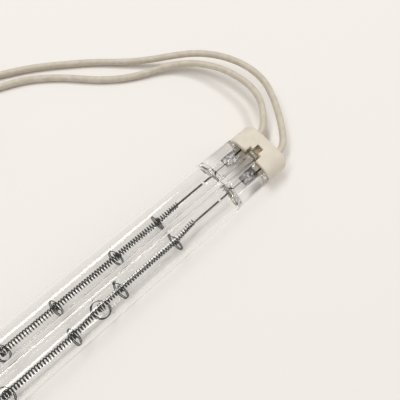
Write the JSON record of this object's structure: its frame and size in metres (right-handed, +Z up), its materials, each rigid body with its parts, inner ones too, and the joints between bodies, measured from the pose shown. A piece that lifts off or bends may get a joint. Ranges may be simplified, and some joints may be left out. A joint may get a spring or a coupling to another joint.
{
  "type": "twin tube infrared heating lamp",
  "caption": "Clear twin-bore quartz heating lamp with coiled filaments on wire supports, pinch seals, ceramic end caps and flexible leads at one end.",
  "frame": {"origin": "middle of the tube's length and width, on the surface that the caps rest on", "axes": "+X along the tube to the end with the leads, +Y across both bores, +Z up"},
  "size_m": [0.2345, 0.1599, 0.0112],
  "materials": {
    "quartz": "clear polished",
    "tungsten": "dull drawn wire",
    "molybdenum": "dull",
    "molybdenum_foil": "bright rolled foil",
    "nickel_strap": "satin",
    "cap_ceramic": "smooth unglazed",
    "cap_cement": "rough",
    "lead_sleeve": "smooth matte",
    "paper_tie": "matte",
    "tinned_copper": "bright tinned"
  },
  "bodies": {
    "root": {"cap_cement_far": "cap_cement", "cap_cement_front": "cap_cement", "ceramic_cap_far": "cap_ceramic", "ceramic_cap_front": "cap_ceramic", "coil_tie_left": "paper_tie", "coil_tie_right": "paper_tie", "crimp_left": "nickel_strap", "crimp_right": "nickel_strap", "filament_left": "tungsten", "filament_right": "tungsten", "foil_left_far": "molybdenum_foil", "foil_left_front": "molybdenum_foil", "foil_right_far": "molybdenum_foil", "foil_right_front": "molybdenum_foil", "inner_rod_left_far": "molybdenum", "inner_rod_left_front": "molybdenum", "inner_rod_right_far": "molybdenum", "inner_rod_right_front": "molybdenum", "jumper_strap": "nickel_strap", "lead_coil_left": "lead_sleeve", "lead_coil_right": "lead_sleeve", "lead_left": "lead_sleeve", "lead_right": "lead_sleeve", "lead_tail_left": "lead_sleeve", "lead_tail_right": "lead_sleeve", "lead_terminal_left": "tinned_copper", "lead_terminal_right": "tinned_copper", "outer_pin_left_far": "molybdenum", "outer_pin_left_front": "molybdenum", "outer_pin_right_far": "molybdenum", "outer_pin_right_front": "molybdenum", "quartz_envelope": "quartz", "support_left_1": "tungsten", "support_left_2": "tungsten", "support_left_3": "tungsten", "support_left_4": "tungsten", "support_left_5": "tungsten", "support_left_6": "tungsten", "support_right_1": "tungsten", "support_right_2": "tungsten", "support_right_3": "tungsten", "support_right_4": "tungsten", "support_right_5": "tungsten", "support_right_6": "tungsten"}
  },
  "joints": []
}
